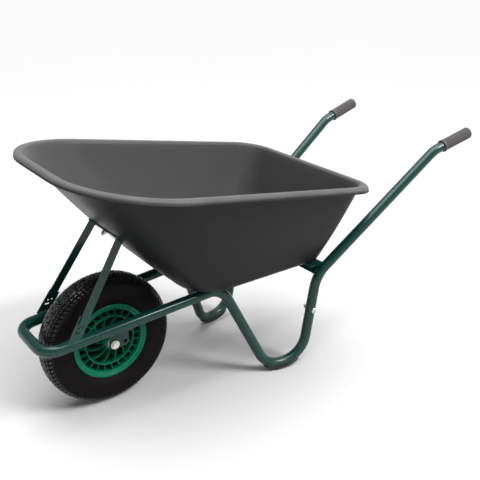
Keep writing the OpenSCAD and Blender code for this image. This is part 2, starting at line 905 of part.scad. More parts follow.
module valve_cap() {
    color("black") home() at_axle() rotate(valve_angle)
        translate([valve_bend_r, 0, valve_offset + 16]) difference() {
            cylinder(h = 10, r = 4.5);
            translate([0, 0, -nudge]) cylinder(h = 8, r = 2.55);
        }
}

frame_tube();
left_handle_tube();
right_handle_tube();
left_grip();
right_grip();
handle_bolts();
handle_nuts();
left_foot_skid();
right_foot_skid();
front_cross_member();
rear_cross_member();
left_axle_bracket();
right_axle_bracket();
left_brace_bracket();
right_brace_bracket();
left_brace_bar();
right_brace_bar();
brace_cross_strap();
tray();
tray_floor_bolts();
tray_floor_washers();
tray_floor_nuts();
tray_front_bolt();
tray_front_washers();
tray_front_nut();
axle_bolt();
axle_washers();
axle_nut();
axle_spacers();
rim();
hub_sleeve();
hub_bushes();
tyre();
inner_tube();
valve_stem();
valve_cap();
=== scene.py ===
from math import cos, pi, radians, sin, tan

import bmesh
import bpy
import numpy as np
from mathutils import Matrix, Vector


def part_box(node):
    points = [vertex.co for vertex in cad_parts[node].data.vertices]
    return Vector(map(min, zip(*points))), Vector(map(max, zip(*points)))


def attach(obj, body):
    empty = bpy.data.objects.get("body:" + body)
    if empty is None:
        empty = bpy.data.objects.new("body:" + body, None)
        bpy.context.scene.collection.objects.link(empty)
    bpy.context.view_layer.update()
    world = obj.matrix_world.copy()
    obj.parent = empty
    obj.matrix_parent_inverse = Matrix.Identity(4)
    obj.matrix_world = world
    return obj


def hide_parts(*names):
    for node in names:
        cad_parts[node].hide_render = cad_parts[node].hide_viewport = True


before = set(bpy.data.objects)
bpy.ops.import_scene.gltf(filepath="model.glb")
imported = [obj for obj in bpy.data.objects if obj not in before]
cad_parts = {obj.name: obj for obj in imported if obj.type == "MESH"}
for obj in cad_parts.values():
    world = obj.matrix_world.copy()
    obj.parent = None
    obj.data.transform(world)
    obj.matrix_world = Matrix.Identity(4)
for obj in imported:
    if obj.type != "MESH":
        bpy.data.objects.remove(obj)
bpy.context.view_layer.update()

# Sizes are millimetres. x runs from the axle's cross plane towards the handles, y to the
# operator's right and z up from the ground. metres() takes finished points to the barrow's
# own origin.

TUBE_R, TUBE_WALL = 16.0, 1.5
TYRE_R, TYRE_HALF = 200.0, 50.0
BEAD_R, BEAD_HALF = 101.5, 36.0

# The rails climb and spread towards the handles. RAIL_HALF and RAIL_Z are where they pass the
# axle.
RAIL_TILT = radians(4.4)
RAIL_SLOPE, RAIL_SPLAY = tan(RAIL_TILT), tan(radians(1.6))
RAIL_HALF, RAIL_Z = 101.0, 276.0

# The tray's floor lies on the rails. Its end walls lean out by the reaches, and the depths are
# the rim's heights over the floor's two ends. A shape holds half widths at the front and the
# rear, and the radii of the front and the rear corners. WALL_T is a leaning wall's level
# thickness.
FLOOR_X0, FLOOR_X1 = 236.0, 672.0
FRONT_REACH, REAR_REACH = 400.0, 116.0
RIM_X0, RIM_X1 = FLOOR_X0 - FRONT_REACH, FLOOR_X1 + REAR_REACH
FRONT_DEPTH, REAR_DEPTH = 438.0, 244.0
FLOOR_SHAPE, RIM_SHAPE = (152, 202, 108, 48), (359, 314, 255, 103)
RIM_W, WALL_BOW, TRAY_WALL = 24.0, 20.0, 4.5
WALL_T = TRAY_WALL * 1.2

axle_low, axle_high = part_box("axle_bolt")
AXLE = np.array([(axle_low.x + axle_high.x) / 2, 0, 0])


def metres(points):
    """Each point times a thousandth, plus the axle's own x."""
    return np.asarray(points, float) * 0.001 + AXLE


def unit(v):
    """The same directions with length one."""
    v = np.asarray(v, float)
    return v / np.linalg.norm(v, axis=-1, keepdims=True)


def rail_point(x):
    """The middle of the operator's right rail."""
    return np.array([x, RAIL_HALF + x * RAIL_SPLAY, RAIL_Z + x * RAIL_SLOPE])


def floor_z(x):
    """The height of the rails' top side."""
    return RAIL_Z + x * RAIL_SLOPE + TUBE_R / cos(RAIL_TILT)


RIM_Z0 = floor_z(FLOOR_X0) + FRONT_DEPTH
RIM_SLOPE = (floor_z(FLOOR_X1) + REAR_DEPTH - RIM_Z0) / (RIM_X1 - RIM_X0)

# Corners of the tubes' middle lines on the operator's right. SOCKET is where the handle plugs
# into the frame.
SKID_UNDER = 3.6
FOOT_Z = TUBE_R + SKID_UNDER
LOW_X = FLOOR_X1 - 44
LOW_BEND = np.array([LOW_X, 219, floor_z(LOW_X) - 34])
FOOT_FRONT = np.array([LOW_X - 165, 183, FOOT_Z])
FOOT_REAR = np.array([LOW_X - 36, 205, FOOT_Z])
LEG_TOP = rail_point(LOW_X - 287)
HOOP = rail_point(-221.6)
ARM = unit(LOW_BEND - FOOT_REAR)
SOCKET = LOW_BEND - ARM * 92
GRIP_RISE, GRIP_SPREAD = radians(15), radians(5)
GRIP_DIR = np.array([cos(GRIP_RISE) * cos(GRIP_SPREAD), cos(GRIP_RISE) * sin(GRIP_SPREAD), sin(GRIP_RISE)])
GRIP_START = np.array([LOW_X + 487, 259, LOW_BEND[2] + 342])
GRIP_LEN, GRIP_R = 120.0, 19.25
ACROSS = np.array([1, -1, 1])


# ---- surfaces ----

def strip(grid, round_rows=False, round_cols=False):
    """Points and faces of a grid: every cell between neighbouring rows and columns is one face,
    and a round direction joins its last line to its first."""
    rows, cols = grid.shape[:2]
    index = np.arange(rows * cols).reshape(rows, cols)
    if round_rows:
        index = np.vstack([index, index[:1]])
    if round_cols:
        index = np.hstack([index, index[:, :1]])
    faces = np.stack([index[:-1, :-1], index[1:, :-1], index[1:, 1:], index[:-1, 1:]], -1)
    return grid.reshape(-1, 3), faces.reshape(-1, 4)


def thick_sheet(outer, inner):
    """A sheet with a wall: the outer and inner grids, each column loop going out and back, and a
    strip across both ends."""
    loop = np.concatenate([outer, inner[:, ::-1]], 1)
    ends = [strip(np.stack([outer[k], inner[k]])) for k in (0, -1)]
    return [strip(loop, round_cols=True)] + ends


def other_side(strips):
    """The same strips with y turned over."""
    return [(points * ACROSS, faces) for points, faces in strips]


def piece(name, strips, body, finish, stands_for=(), sharp=35.0, marks=None):
    """One object from its strips, with doubled points merged and faces turned outwards. Its place
    is in its mesh."""
    starts = np.cumsum([0] + [len(points) for points, _ in strips])
    points = metres(np.concatenate([points for points, _ in strips]))
    faces = np.concatenate([faces + start for (_, faces), start in zip(strips, starts)])
    mesh = bpy.data.meshes.new(name)
    mesh.from_pydata(points.tolist(), [], faces.tolist())
    for mark, values in (marks or {}).items():
        mesh.attributes.new(mark, "FLOAT", "POINT").data.foreach_set("value", np.ravel(values))
    work = bmesh.new()
    work.from_mesh(mesh)
    bmesh.ops.remove_doubles(work, verts=work.verts, dist=2e-6)
    bmesh.ops.recalc_face_normals(work, faces=work.faces)
    work.to_mesh(mesh)
    work.free()
    mesh.shade_smooth()
    mesh.set_sharp_from_angle(angle=radians(sharp))
    mesh.materials.append(finish.material)
    made = bpy.data.objects.new(name, mesh)
    bpy.context.scene.collection.objects.link(made)
    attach(made, body)
    if stands_for:
        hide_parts(*stands_for)
    return made


def smooth_step(x, low, high):
    """3t^2 - 2t^3 of the part of the way from low to high."""
    t = np.clip((x - low) / (high - low), 0, 1)
    return t * t * (3 - 2 * t)


# ---- lines and tubes ----

def bent_line(corners, radii, kneads=None, step=4.0):
    """Straight runs joined by arcs. An arc starts radius * tan(half its turn) before its corner,
    and its points are centre - inward * r cos a + forward * r sin a. Gives the points, their
    directions, the direction to the bend's centre, and how hard each point's bend is kneaded."""
    kneads = kneads or [0] * len(corners)
    way = unit(corners[1] - corners[0])
    points, ways = [corners[0], corners[0] + way], [way] * 2
    inwards, hard = [np.zeros(3)] * 2, [0, 0]
    for k in range(1, len(corners) - 1):
        u, w = unit(corners[k] - corners[k - 1]), unit(corners[k + 1] - corners[k])
        turn = np.arccos(u @ w)
        inward = unit(w - u * (u @ w))
        start = corners[k] - u * radii[k] * tan(turn / 2)
        count = max(8, int(radii[k] * turn / (1.1 if kneads[k] > 0.5 else step)))
        part = np.linspace(0, 1, count)
        a = (part * turn)[:, None]
        points.extend(start + inward * radii[k] * (1 - np.cos(a)) + u * radii[k] * np.sin(a))
        ways.extend(u * np.cos(a) + inward * np.sin(a))
        inwards.extend(inward * np.cos(a) - u * np.sin(a))
        hard.extend(kneads[k] * np.sin(pi * part) ** 0.5)
    way = unit(corners[-1] - corners[-2])
    points += [corners[-1] - way, corners[-1]]
    ways += [way] * 2
    inwards += [np.zeros(3)] * 2
    hard += [0, 0]
    return np.array(points), np.array(ways), np.array(inwards), np.array(hard)


def ring_axes(ways):
    """Two directions square to each way: its cross product with a fixed slanted line, and the
    cross product of the two."""
    across = unit(np.cross(ways, [1.0, 0.0, 1.0]))
    return across, np.cross(ways, across)


def tube(line, outer, inner, sides=40):
    """A hollow tube along a line. A ring is point + radius * (cos t * across + sin t * over). In
    a kneaded bend the radius loses 1.6 times its outer side squared, gains 0.7 times one less the
    side squared, and has a row of wrinkles, two sines of the length, times its inner side to the
    power 1.6. The outer rings go out and the inner rings come back."""
    points, ways, inwards, hard = line
    across, over = ring_axes(ways)
    t = np.linspace(0, 2 * pi, sides, endpoint=False)[None, :, None]
    spokes = np.cos(t) * across[:, None] + np.sin(t) * over[:, None]
    side = (spokes * inwards[:, None]).sum(-1)
    length = np.cumsum(np.r_[0, np.linalg.norm(np.diff(points, axis=0), axis=1)])[:, None]
    ends = np.zeros(len(points))
    ends[[0, -1]] = 0.8
    into, away = np.clip(side, 0, 1), np.clip(-side, 0, 1)
    hard = hard[:, None]
    radius = outer - ends[:, None] - 1.6 * hard * away ** 2 + 0.7 * hard * (1 - side ** 2)
    wrinkles = 0.75 * np.sin(2 * pi * length / 10.5) + 0.3 * np.sin(2 * pi * length / 6.1)
    radius = radius + hard * into ** 1.6 * wrinkles
    skin = points[:, None] + spokes * radius[..., None]
    bore = points[:, None] + spokes * inner
    return [strip(np.concatenate([skin, bore[::-1]]), True, True)]


def bead(a, b, radius):
    """A run of weld: rings along the line from a to b whose radius is a half round at the ends
    times a ripple, one ripple for each scale of the weld."""
    a, b = np.asarray(a, float), np.asarray(b, float)
    length = np.linalg.norm(b - a)
    part = np.linspace(0, 1, max(14, int(length / 0.9)))[:, None]
    way = unit(b - a)
    across, over = ring_axes(way[None])
    t = np.linspace(0, 2 * pi, 10, endpoint=False)[None, :, None]
    ripple = 1 + 0.16 * np.abs(np.sin(pi * part * length / 4.2)) + 0.07 * np.sin(part * length * 0.63)
    swell = np.clip(1 - np.abs(2 * part - 1) ** 8, 0, 1) ** 0.5
    centre = a + (b - a) * part
    spokes = np.cos(t) * across[:, None] + np.sin(t) * over[:, None]
    return [strip(centre[:, None] + spokes * (radius * ripple * swell)[..., None], False, True)]


def turned(profile, foot, way, sides, flutes):
    """A turned piece: each profile row is a radius and a distance along its axis, and the ring is
    foot + way * distance + radius * (cos t * across + sin t * over). flutes(t, distance) is taken
    off the radius."""
    way = unit(way)
    across, over = ring_axes(way[None])
    t = np.linspace(0, 2 * pi, sides, endpoint=False)[None, :]
    radius, along = profile[:, :1], profile[:, 1:]
    cut = flutes(t, along)
    spokes = np.cos(t)[..., None] * across + np.sin(t)[..., None] * over
    grid = foot + along[..., None] * way + spokes * (radius - cut * (radius > 0))[..., None]
    return [strip(grid, False, True)]


# ---- wiring of finishes ----

class Wire:
    """A value on its way through a finish. Python's own signs between wires and numbers add the
    Math nodes."""

    def __init__(self, finish, socket):
        self.finish, self.socket = finish, socket

    def __add__(self, other):
        return self.finish.sum("ADD", self, other)

    __radd__ = __add__

    def __sub__(self, other):
        return self.finish.sum("SUBTRACT", self, other)

    def __rsub__(self, other):
        return self.finish.sum("SUBTRACT", other, self)

    def __mul__(self, other):
        return self.finish.sum("MULTIPLY", self, other)

    __rmul__ = __mul__


class Finish:
    """A material under construction: its Principled shader, its object coordinates and the few
    kinds of node that the finishes use."""

    SOCKETS = {
        "colour": "Base Color", "roughness": "Roughness", "metallic": "Metallic", "coat": "Coat Weight",
        "normal": "Normal"
    }

    def __init__(self, name, constants):
        self.material = bpy.data.materials.new(name)
        self.material.use_nodes = True
        self.tree = self.material.node_tree
        self.shader = self.tree.nodes["Principled BSDF"]
        for socket, value in constants.items():
            self.shader.inputs[socket].default_value = value
        self.place = self.node("TexCoord", out="Object")

    def node(self, kind, settings=None, values=None, out=0):
        made = self.tree.nodes.new("ShaderNode" + kind)
        for key, value in (settings or {}).items():
            setattr(made, key, value)
        for key, value in (values or {}).items():
            self.feed(made.inputs[key], value)
        return Wire(self, made.outputs[out])

    def feed(self, socket, value):
        if isinstance(value, Wire):
            self.tree.links.new(value.socket, socket)
        else:
            socket.default_value = value

    def sum(self, operation, a, b):
        return self.node("Math", {"operation": operation}, {0: a, 1: b})

    def noise(self, scale, detail=2.0, rough=0.5, stretch=None):
        place = self.stretched(stretch) if stretch else self.place
        values = {"Vector": place, "Scale": scale, "Detail": detail, "Roughness": rough}
        return self.node("TexNoise", values=values)

    def stretched(self, by):
        return self.node("VectorMath", {"operation": "MULTIPLY"}, {0: self.place, 1: by})

    def cells(self, scale):
        return self.node("TexVoronoi", values={"Vector": self.place, "Scale": scale})

    def step(self, value, low, high):
        return self.node("MapRange", {"interpolation_type": "SMOOTHSTEP"}, {0: value, 1: low, 2: high})

    def axis(self, letter):
        return self.node("SeparateXYZ", values={0: self.place}, out=letter)

    def mark(self, name):
        return self.node("Attribute", {"attribute_name": name}, out="Fac")

    def mix(self, factor, a, b):
        return self.node("Mix", {"data_type": "RGBA"}, {0: factor, 6: a, 7: b}, out=2)

    def bump(self, height, distance, strength=1.0, under=None):
        values = {"Height": height, "Distance": distance, "Strength": strength}
        if under:
            values["Normal"] = under
        return self.node("Bump", values=values, out="Normal")

    def wear(self, **sockets):
        """Feeds the shader: colour, roughness, metallic, coat and normal."""
        for key, value in sockets.items():
            self.feed(self.shader.inputs[self.SOCKETS[key]], value)
        return self


def rgb(red, green, blue):
    """A full colour from its three linear parts."""
    return (red, green, blue, 1.0)


def powder_coat():
    """Dark green baked powder: orange peel, slow drifts of depth, a few rubbed spots and dust low down."""
    f = Finish("green_powder_coat", {"Specular IOR Level": 0.2, "Coat Roughness": 0.07, "Coat IOR": 1.5})
    drift = f.noise(7, 3)
    peel = f.noise(420, 2, 0.6)
    flow = f.noise(48, 2)
    rubbed = f.step(f.noise(55, 7, 0.72), 0.66, 0.75)
    dust = f.step(f.axis("Z"), 0.13, 0.0) * f.step(f.noise(24, 5, 0.65), 0.42, 0.7)
    colour = f.mix(drift, rgb(0.0018, 0.026, 0.0205), rgb(0.0036, 0.040, 0.032))
    colour = f.mix(rubbed * 0.4, colour, rgb(0.05, 0.12, 0.10))
    colour = f.mix(dust * 0.25, colour, rgb(0.16, 0.15, 0.13))
    normal = f.bump(flow, 0.0012, 0.35, f.bump(peel, 0.0003, 0.25))
    rough = 0.24 + 0.12 * drift + 0.25 * rubbed + 0.2 * dust
    coat = 0.34 - 0.25 * rubbed - 0.15 * dust
    return f.wear(colour=colour, roughness=rough, coat=coat, normal=normal)


def tray_plastic():
    """Dark grey moulded polyethylene: fine leather grain, slow shrink waves, pale hair scratches,
    a paler inside that is painted light, partly a rubbed chalky look, and a painted highlight
    along the rolled edge."""
    f = Finish("tray_polyethylene", {"Specular IOR Level": 0.12})
    cloud = f.noise(3.2, 4, 0.55)
    grain = f.noise(620, 3, 0.6)
    shrink = f.noise(9, 2)
    drags = f.step(f.noise(34, 6, 0.7, stretch=(0.35, 1.0, 5.5)), 0.63, 0.72)
    fine = f.step(f.noise(60, 5, 0.7, stretch=(6.0, 1.0, 0.4)), 0.66, 0.74)
    specks = f.step(f.cells(240), 0.14, 0.05)
    # Painted highlight: a pale band along the top of the rolled rim, varied by noise.
    rim_highlight = f.mark("edge") * (0.55 + 0.45 * f.noise(12, 4))
    colour = f.mix(cloud, rgb(0.0085, 0.0086, 0.0088), rgb(0.0125, 0.0126, 0.0129))
    # Painted light: the inside walls and floor get a paler colour than the outside, partly a rubbed chalky
    # look.
    inside = f.mark("inside") * (0.75 + 0.5 * f.noise(5, 5, 0.6))
    colour = f.mix(inside, colour, rgb(0.052, 0.0522, 0.0526))
    colour = f.mix(rim_highlight, colour, rgb(0.105, 0.105, 0.106))
    colour = f.mix(drags * 0.22 + fine * 0.16, colour, rgb(0.13, 0.13, 0.13))
    colour = f.mix(specks * 0.12, colour, rgb(0.10, 0.10, 0.10))
    normal = f.bump(shrink, 0.004, 0.16, f.bump(grain, 0.00035, 0.35))
    return f.wear(colour=colour, roughness=0.34 + 0.12 * cloud + 0.14 * drags, normal=normal)


def rim_plastic():
    """Emerald polypropylene with a moulded gloss, flow clouds and painted shade deep in its pockets."""
    f = Finish("rim_polypropylene", {"Specular IOR Level": 0.12, "Coat Roughness": 0.14})
    cloud = f.noise(26, 3)
    fine = f.noise(520, 2)
    scuff = f.step(f.noise(90, 6, 0.7), 0.64, 0.73)
    # Painted shade: darker green towards the web in the middle of the wheel, deep in the pockets.
    pocket_shade = f.step(f.sum("ABSOLUTE", f.axis("Y"), 0), 0.034, 0.012)
    colour = f.mix(cloud, rgb(0.0010, 0.108, 0.054), rgb(0.0020, 0.152, 0.082))
    colour = f.mix(scuff * 0.3, colour, rgb(0.10, 0.30, 0.22))
    colour = f.mix(pocket_shade * (0.6 + 0.4 * cloud), colour, rgb(0.0008, 0.030, 0.018))
    rough, coat = 0.34 + 0.12 * cloud + 0.2 * scuff, 0.06 - 0.04 * scuff
    normal = f.bump(fine, 0.0002, 0.25, f.bump(cloud, 0.001, 0.25))
    return f.wear(colour=colour, roughness=rough, coat=coat, normal=normal)


def tyre_rubber():
    """Black-brown rubber: browner and dustier in the grooves, rubbed grey and glossier on the
    tread blocks."""
    constants = {"Specular IOR Level": 0.08, "Coat Roughness": 0.3, "Coat Tint": rgb(0.80, 0.88, 1.0)}
    f = Finish("tyre_rubber", constants)
    cut, crown = f.mark("groove"), f.mark("crown")
    cloud = f.noise(22, 5, 0.6)
    fine = f.noise(700, 3, 0.65)
    rub = f.step(f.noise(75, 5, 0.65), 0.45, 0.7)
    colour = f.mix(cloud, rgb(0.0032, 0.0025, 0.0024), rgb(0.0062, 0.0050, 0.0047))
    colour = f.mix(cut * (0.3 + 0.4 * cloud), colour, rgb(0.010, 0.007, 0.0055))
    colour = f.mix(crown * rub * 0.3, colour, rgb(0.042, 0.042, 0.045))
    rough = 0.50 + 0.16 * cloud + 0.12 * rub
    normal = f.bump(fine, 0.0004, 0.4, f.bump(cloud, 0.002, 0.2))
    return f.wear(colour=colour, roughness=rough, coat=crown * 0.95, normal=normal)


def grip_plastic():
    """Brown-grey soft plastic: a fine matt skin, painted shade at the foot of its flutes, and polished
    by hands on their crests."""
    f = Finish("grip_soft_plastic", {"Sheen Weight": 0.15, "Sheen Roughness": 0.5})
    flute = f.mark("flute")
    cloud = f.noise(40, 4)
    fine = f.noise(800, 3, 0.6)
    colour = f.mix(cloud, rgb(0.027, 0.0225, 0.0235), rgb(0.043, 0.036, 0.0375))
    # Painted shade: the foot of each flute is darker.
    colour = f.mix(flute * 0.85, colour, rgb(0.007, 0.0055, 0.0055))
    return f.wear(colour=colour, roughness=0.50 + 0.2 * flute + 0.12 * cloud, normal=f.bump(fine, 0.0003, 0.4))


def zinc(name, tint=0.62, rough=0.24, shine=1.0):
    """Zinc plate with small spangles and dull spots. shine is how much of it is bare metal."""
    f = Finish(name, {"Specular IOR Level": 0.5})
    spangle = f.cells(420)
    dull = f.noise(120, 5, 0.65)
    bright = rgb(tint * 1.05, tint * 1.03, tint * (0.72 + 0.28 * shine))
    colour = f.mix(dull, bright, rgb(tint * 0.72, tint * 0.73, tint * 0.76))
    colour = f.mix(f.step(f.noise(210, 5, 0.7), 0.62, 0.75) * 0.35, colour, rgb(0.30, 0.27, 0.22))
    metal = shine - 0.25 * f.step(dull, 0.6, 0.8)
    normal = f.bump(spangle, 0.0002, 0.2)
    return f.wear(colour=colour, roughness=rough + 0.22 * dull, metallic=metal, normal=normal)


def moulded(name, dark, light, rough, metallic=0.0):
    """A small moulded or plain piece: two close colours by cloud, and a fine grain."""
    f = Finish(name, {"Metallic": metallic})
    cloud = f.noise(60, 4)
    scuff = f.step(f.noise(150, 6, 0.7), 0.6, 0.72)
    colour = f.mix(scuff * 0.3, f.mix(cloud, dark, light), tuple(0.5 * a + 0.15 for a in light[:3]) + (1.0,))
    normal = f.bump(f.noise(650, 3, 0.6), 0.0004, 0.3)
    return f.wear(colour=colour, roughness=rough + 0.15 * cloud, normal=normal)


GREEN = powder_coat()
TRAY = tray_plastic()
RIM = rim_plastic()
TYRE = tyre_rubber()
GRIP = grip_plastic()
ZINC = zinc("zinc_plate")
AXLE_ZINC = zinc("axle_zinc_plate", 0.74, 0.42, 0.55)
STEEL = zinc("sleeve_steel", 0.40)
SKID = moulded("skid_plastic", rgb(0.003, 0.003, 0.003), rgb(0.007, 0.007, 0.0075), 0.5)
NYLON = moulded("bush_nylon", rgb(0.62, 0.61, 0.56), rgb(0.72, 0.71, 0.67), 0.42)
BRASS = moulded("valve_brass", rgb(0.55, 0.36, 0.12), rgb(0.70, 0.48, 0.20), 0.3, metallic=1.0)
CAP = moulded("cap_plastic", rgb(0.008, 0.008, 0.008), rgb(0.016, 0.016, 0.016), 0.45)
TUBE_RUBBER = moulded("tube_rubber", rgb(0.012, 0.012, 0.012), rgb(0.022, 0.021, 0.02), 0.6)


def refinish(finish, *names):
    """Gives a CAD node its finish on every slot."""
    for name in names:
        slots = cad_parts[name].material_slots
        for slot in slots:
            slot.material = finish.material
        if not slots:
            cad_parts[name].data.materials.append(finish.material)


# ---- tray ----

def outline(x0, x1, half0, half1, r0, r1, arc=16, run=14):
    """A rounded trapezoid from above. Each corner is an arc that turns from one side's outward
    direction to the next one's, about a centre set in by the radius, and the straight runs are
    split evenly. Gives the points and their outward directions."""
    p = np.array([[x0, -half0], [x1, -half1], [x1, half1], [x0, half0]], float)
    r = np.array([r0, r1, r1, r0], float)[:, None]
    u, w = unit(p - np.roll(p, 1, 0)), unit(np.roll(p, -1, 0) - p)
    turn = np.arccos((u * w).sum(1))[:, None]
    out = np.stack([u[:, 1], -u[:, 0]], 1)
    centre = p - u * r * np.tan(turn / 2) - out * r
    a = np.arctan2(out[:, 1], out[:, 0])[:, None] + turn * np.linspace(0, 1, arc)
    way = np.stack([np.cos(a), np.sin(a)], -1)
    edge = centre[:, None] + r[:, None] * way
    part = np.linspace(0, 1, run + 2)[1:-1][None, :, None]
    runs = edge[:, -1:] * (1 - part) + np.roll(edge, -1, 0)[:, :1] * part
    run_ways = np.repeat(way[:, -1:], run, 1)
    points = np.concatenate([edge, runs], 1).reshape(-1, 2)
    ways = np.concatenate([way, run_ways], 1).reshape(-1, 2)
    return points, ways


def tray_skin(rows):
    """The tray's skin. A row holds how far up the wall it is, how far outwards, how much it is
    lifted and how much of the floor's outline it keeps. Between floor and rim everything is a
    straight mix of the two outlines, plus the outward direction times the reach, where the front
    wall's bow 4 * up * (1 - up) fades towards the rear."""
    up, out, lift, keep = rows.T[:, :, None]
    floor, floor_way = outline(FLOOR_X0, FLOOR_X1, *FLOOR_SHAPE)
    rim, rim_way = outline(RIM_X0, RIM_X1, *RIM_SHAPE)
    middle = np.array([(FLOOR_X0 + FLOOR_X1) / 2, 0])
    wall = rim - rim_way * RIM_W
    up3, keep3 = up[..., None], keep[..., None]
    base = middle + (floor - middle) * keep3
    way = unit((1 - up3) * floor_way + up3 * rim_way)
    reach = out + 4 * up * (1 - up) * WALL_BOW * (1 - way[..., 0]) / 2
    xy = (1 - up3) * base + up3 * wall + way * reach[..., None]
    slope = (1 - up) * RAIL_SLOPE + up * RIM_SLOPE
    rim_height = RIM_Z0 + (wall[:, 0] - RIM_X0) * RIM_SLOPE
    z = (1 - up) * floor_z(base[..., 0]) + up * rim_height + slope * way[..., 0] * out + lift
    return np.concatenate([xy, z[..., None]], -1)


def tray_rows():
    """The section from the middle of the floor's underside, round its edge, up the wall, round
    the rolled rim and its lip, and down the inside to the middle of the floor."""
    t = np.linspace(0, 1, 8)
    flat = np.array([0, 0.35, 0.7, 0.9])
    under = np.stack([0 * flat, -14 * flat, 0 * flat, flat], 1)
    edge = np.stack([0.05 * t ** 2, -14 * (1 - t) ** 2, 0 * t, 1 + 0 * t], 1)
    climb = np.linspace(0.08, 0.96, 16)
    outside = np.stack([climb, 0 * climb, 0 * climb, 1 + 0 * climb], 1)
    roll = np.linspace(-0.15, pi / 2, 9)
    lip = np.array([
        [0.985, 0, 0, 1], [1, 1.5, -5.2, 1], [1, 4, -4.6, 1], [1, 15, -4.6, 1], [1, 18.2, -6, 1],
        [1, 19.4, -9, 1], [1, 19.6, -15.6, 1], [1, 20.4, -16.4, 1], [1, 24.0, -16.5, 1], [1, 25.0, -15.9, 1],
        [1, 25.4, -14.8, 1], [1, 25.3, -13.4, 1], [1, 24.6, -12.6, 1], [1, 23.2, -12.0, 1],
        [1, 22.8, -11.3, 1], [1, 23.2, -10.6, 1]
    ])
    band = np.stack([1 + 0 * roll, 13.5 + 10.5 * np.cos(roll), -8.2 + 8.2 * np.sin(roll), 1 + 0 * roll], 1)
    over = np.array([
        [1, 9, -0.1, 1], [1, 4, -0.5, 1], [1, 0.5, -1.0, 1], [1, -2, -2.0, 1], [0.997, -3.8, -2.4, 1],
        [0.988, -5, -1.2, 1], [0.97, -WALL_T, 0, 1]
    ])
    fall = climb[-2::-1]
    inside = np.stack([fall[:-1], -WALL_T + 0 * fall[:-1], 0 * fall[:-1], 1 + 0 * fall[:-1]], 1)
    s = 1 - t
    hollow = np.stack([0.1 * s ** 2, -WALL_T - 24 * (1 - s) ** 2, TRAY_WALL * (1 - s ** 2), 1 + 0 * s], 1)
    back = flat[::-1]
    top = np.stack([0 * back, -(WALL_T + 24) * back, TRAY_WALL + 0 * back, back], 1)
    return np.concatenate([under, edge, outside, lip, band, over, inside, hollow, top])


rows = tray_rows()
skin = tray_skin(rows)
up, out, lift, _ = rows.T
INSIDE_ROWS = 34  # from the rim's top, down the inside of the wall, to the middle of the floor
# Painted highlight: the edge mark is a pale band on the rolled rim.
rim_highlight_mark = smooth_step(up, 0.985, 1.0) * smooth_step(out, -3, 2) * smooth_step(lift, -14, -9)
# Painted light: the inside mark makes the inner walls and floor paler than the outside.
inside_light_mark = smooth_step(np.arange(len(rows)), len(rows) - INSIDE_ROWS, len(rows) - INSIDE_ROWS + 4)
tray_marks = {
    name: np.broadcast_to(mark[:, None], skin.shape[:2])
    for name, mark in (("edge", rim_highlight_mark), ("inside", inside_light_mark))
}
shell = [strip(skin, False, True)]
piece("tray_shell", shell, "frame", TRAY, ["tray"], sharp=60, marks=tray_marks)


# ---- tube frame and handles ----

frame_corners = np.array([SOCKET, FOOT_REAR, FOOT_FRONT, LEG_TOP, HOOP])
frame_corners = np.concatenate([frame_corners, (frame_corners * ACROSS)[::-1]])
frame_radii = [0, 85, 76, 64, 46, 46, 64, 76, 85, 0]
frame_kneads = [0, 0.12, 0.15, 0.2, 1, 1, 0.2, 0.15, 0.12, 0]
frame_line = bent_line(frame_corners, frame_radii, frame_kneads)
frame_skin = tube(frame_line, TUBE_R, TUBE_R - TUBE_WALL)
piece("frame_hoop_and_legs", frame_skin, "frame", GREEN, ["frame_tube"])

SEAM = 1.6
GRIP_END = GRIP_START + GRIP_DIR * (GRIP_LEN - 6)
handle_corners = [SOCKET + ARM * SEAM, LOW_BEND, GRIP_START - GRIP_DIR * 34, GRIP_END]
handle = tube(bent_line(handle_corners, [0, 96, 100, 0], [0, 0.2, 0.15, 0]), TUBE_R, TUBE_R - TUBE_WALL)
handle += tube(bent_line([SOCKET - ARM * 60, SOCKET - ARM * 26, SOCKET + ARM * 8], [0, 0, 0]), 14.35, 12.85)
piece("right_handle", handle, "frame", GREEN, ["right_handle_tube"])
piece("left_handle", other_side(handle), "frame", GREEN, ["left_handle_tube"])


# ---- grips ----

FLUTES, FLUTE_DEPTH, GRIP_SIDES = 16, 1.7, 176


def flute_depth(t, along):
    """Grooves along the grip, a raised cosine of the angle, that fade out before the collar and
    the closed end."""
    span = smooth_step(along, 9, 13) * (1 - smooth_step(along, GRIP_LEN - 14, GRIP_LEN - 9))
    rings = 0.5 * np.exp(-((along - 9) / 1.2) ** 2) + 0.5 * np.exp(-((along - 111) / 1.2) ** 2)
    return FLUTE_DEPTH * (0.5 + 0.5 * np.cos(FLUTES * t)) ** 1.5 * span + rings


def grip_profile():
    """Radius and distance from the closed bore's end, out of the mouth, along the sleeve and over
    the rounded end."""
    a = np.linspace(0, pi / 2, 8)
    along = np.r_[
        1.0, 3.0, 6.0, np.linspace(7.5, 11, 6), np.linspace(13, GRIP_LEN - 16, 22),
        np.linspace(GRIP_LEN - 14, GRIP_LEN - 8, 7)
    ]
    radius = GRIP_R + 1.1 * np.exp(-((along - 3.5) / 4) ** 4) - 0.35 * np.sin(pi * along / GRIP_LEN)
    dome = np.stack([GRIP_R - 7 + 7 * np.cos(a), GRIP_LEN - 7 + 7 * np.sin(a)], 1)
    return np.concatenate([
        [[0, GRIP_LEN - 5], [TUBE_R + 0.2, GRIP_LEN - 5], [TUBE_R + 0.2, 0.5]],
        [[TUBE_R + 0.8, 0], [GRIP_R - 0.5, 0]],
        np.stack([radius, along], 1), dome, [[0, GRIP_LEN + 0.4]]
    ])


profile = grip_profile()
around = np.linspace(0, 2 * pi, GRIP_SIDES, endpoint=False)[None]
grip_marks = {"flute": np.clip(flute_depth(around, profile[:, 1:]) / FLUTE_DEPTH, 0, 1)}
grip = turned(profile, GRIP_START, GRIP_DIR, GRIP_SIDES, flute_depth)
piece("right_hand_grip", grip, "frame", GRIP, ["right_grip"], marks=grip_marks)
piece("left_hand_grip", other_side(grip), "frame", GRIP, ["left_grip"], marks=grip_marks)


# ---- foot skids ----

